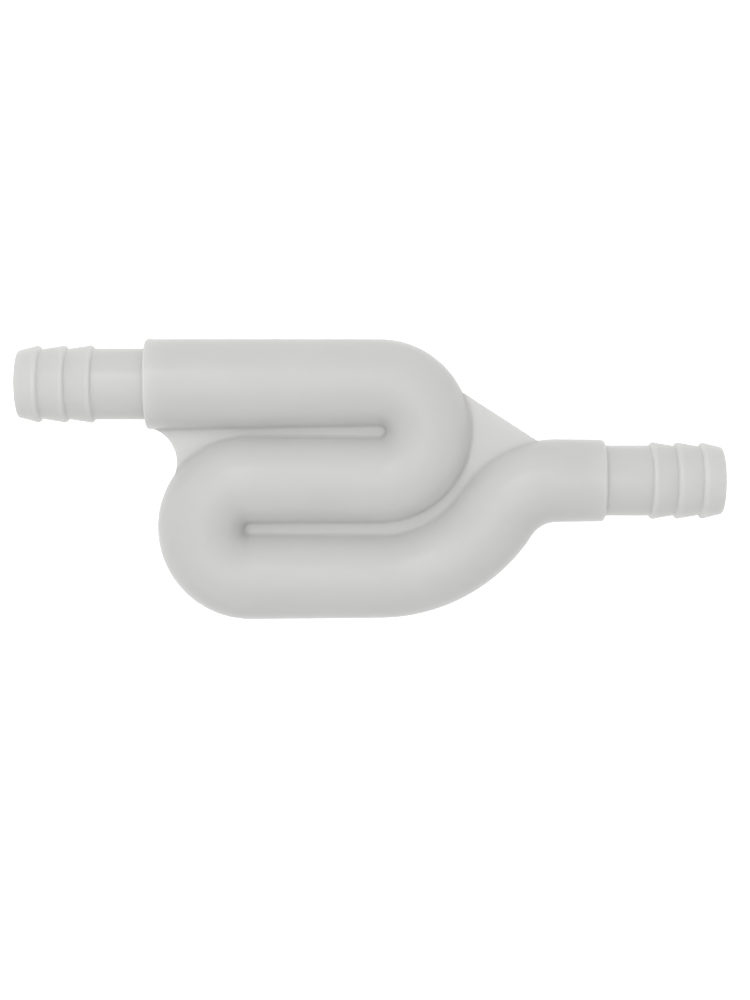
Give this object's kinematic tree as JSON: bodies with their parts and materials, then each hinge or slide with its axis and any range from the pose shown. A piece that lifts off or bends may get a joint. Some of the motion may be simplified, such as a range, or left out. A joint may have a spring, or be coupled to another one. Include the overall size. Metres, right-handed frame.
{
  "type": "condensate trap",
  "caption": "Moulded S-shaped drain trap for condensate hose, with a thin web between its runs and a barbed hose spigot at each end.",
  "frame": {"origin": "under the middle of the trap as it lies flat, on the surface that it rests on", "axes": "+X from the inlet to the outlet, +Y up in use, +Z off the surface that it lies on"},
  "size_m": [0.1988, 0.0802, 0.0254],
  "materials": {
    "moulded_plastic": "satin"
  },
  "bodies": {
    "root": {"trap_body": "moulded_plastic"}
  },
  "joints": []
}
